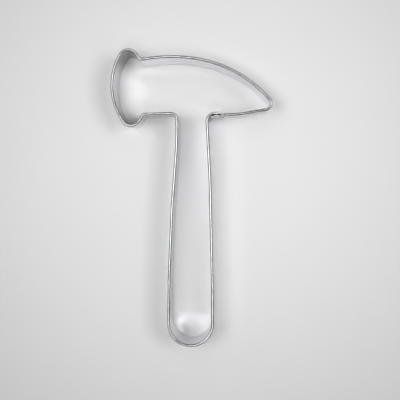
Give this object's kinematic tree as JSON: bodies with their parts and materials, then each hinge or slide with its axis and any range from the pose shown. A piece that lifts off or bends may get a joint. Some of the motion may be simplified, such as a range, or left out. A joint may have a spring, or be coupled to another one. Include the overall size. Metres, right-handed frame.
{
  "type": "cookie cutter",
  "caption": "Hammer-shaped cookie cutter: a bent metal strip with a hemmed top edge and a plain cutting edge, lapped and spot welded into a closed outline.",
  "frame": {"origin": "middle of the cutter's footprint, on the plane of its cutting edge", "axes": "+Y from the end of the hammer's handle to its head, +X from the hammer's face to its claw, +Z from the cutting edge to the hemmed edge that the hand presses"},
  "size_m": [0.0584, 0.1078, 0.022],
  "materials": {
    "cutter_strip": "bright rolled stainless sheet, mirror-like with faint rolling lines",
    "spot_welds": "dull fused steel with a faint heat tint"
  },
  "bodies": {
    "root": {"cutter_strip": "cutter_strip", "spot_welds": "spot_welds"}
  },
  "joints": []
}
